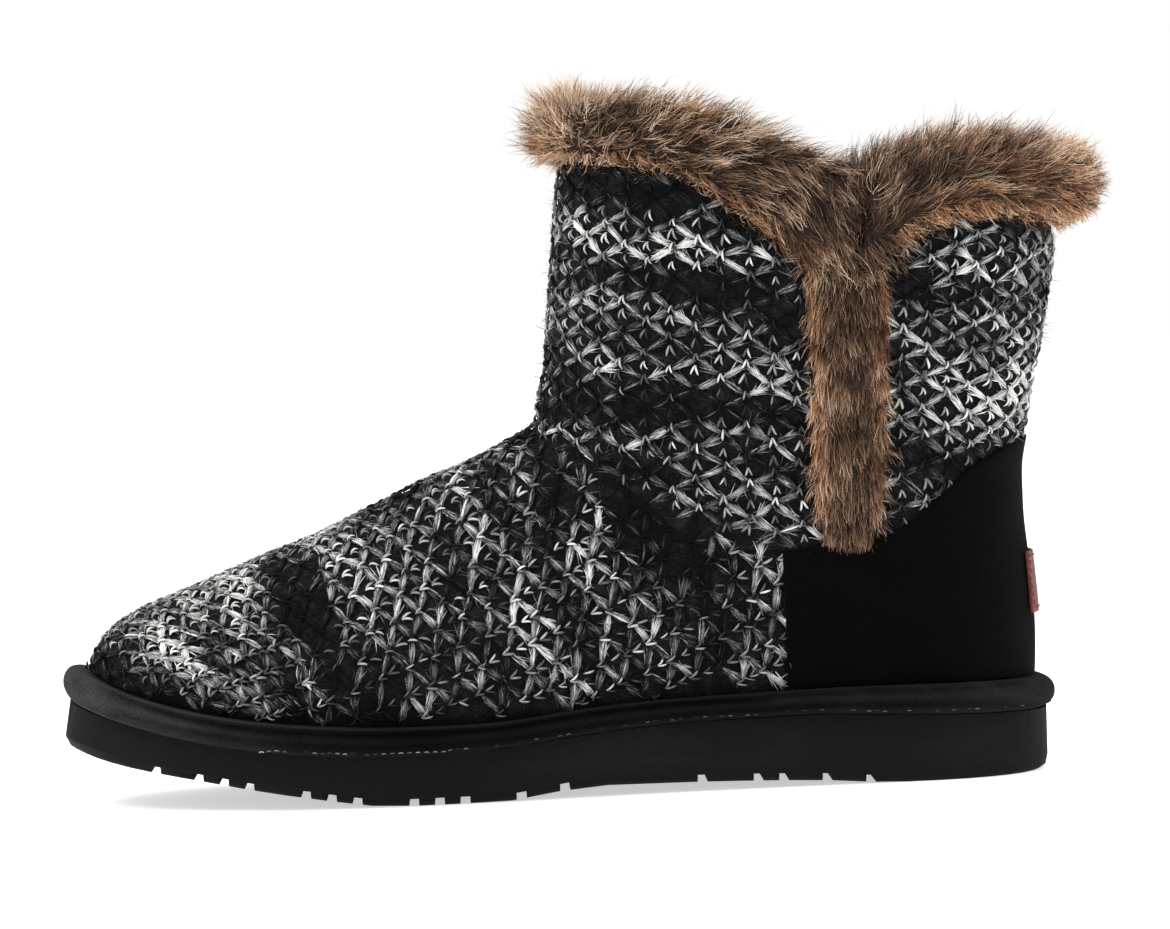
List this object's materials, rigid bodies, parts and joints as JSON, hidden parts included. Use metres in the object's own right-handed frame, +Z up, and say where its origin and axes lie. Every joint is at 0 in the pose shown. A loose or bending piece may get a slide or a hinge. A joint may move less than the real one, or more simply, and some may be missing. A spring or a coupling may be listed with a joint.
{
  "type": "winter boot",
  "caption": "Ankle-high left winter boot: hollow knitted upper with a fur collar and side fur strips, suede heel counter, suede-wrapped rand and a lugged platform sole.",
  "frame": {"origin": "on the floor, at the middle of the heel's flat seat", "axes": "+X from toe to heel, along the boot; -X is the toe. +Y is the inner (medial) side, -Y the outer (lateral) side. +Z up"},
  "size_m": [0.2944, 0.1154, 0.1939],
  "materials": {
    "foam": "satin black moulded foam",
    "suede": "matte black suede",
    "felt": "matte felt",
    "knit": "matte black and off-white knit",
    "patch": "satin, plain",
    "fur": "long brown pile"
  },
  "bodies": {
    "root": {"outsole": "foam", "rand": "suede", "insole": "felt", "upper": "knit", "heel_counter": "suede", "heel_patch": "patch", "collar_fur_front": "fur", "collar_fur_back": "fur", "side_fur_lateral": "fur", "side_fur_medial": "fur"}
  },
  "joints": []
}
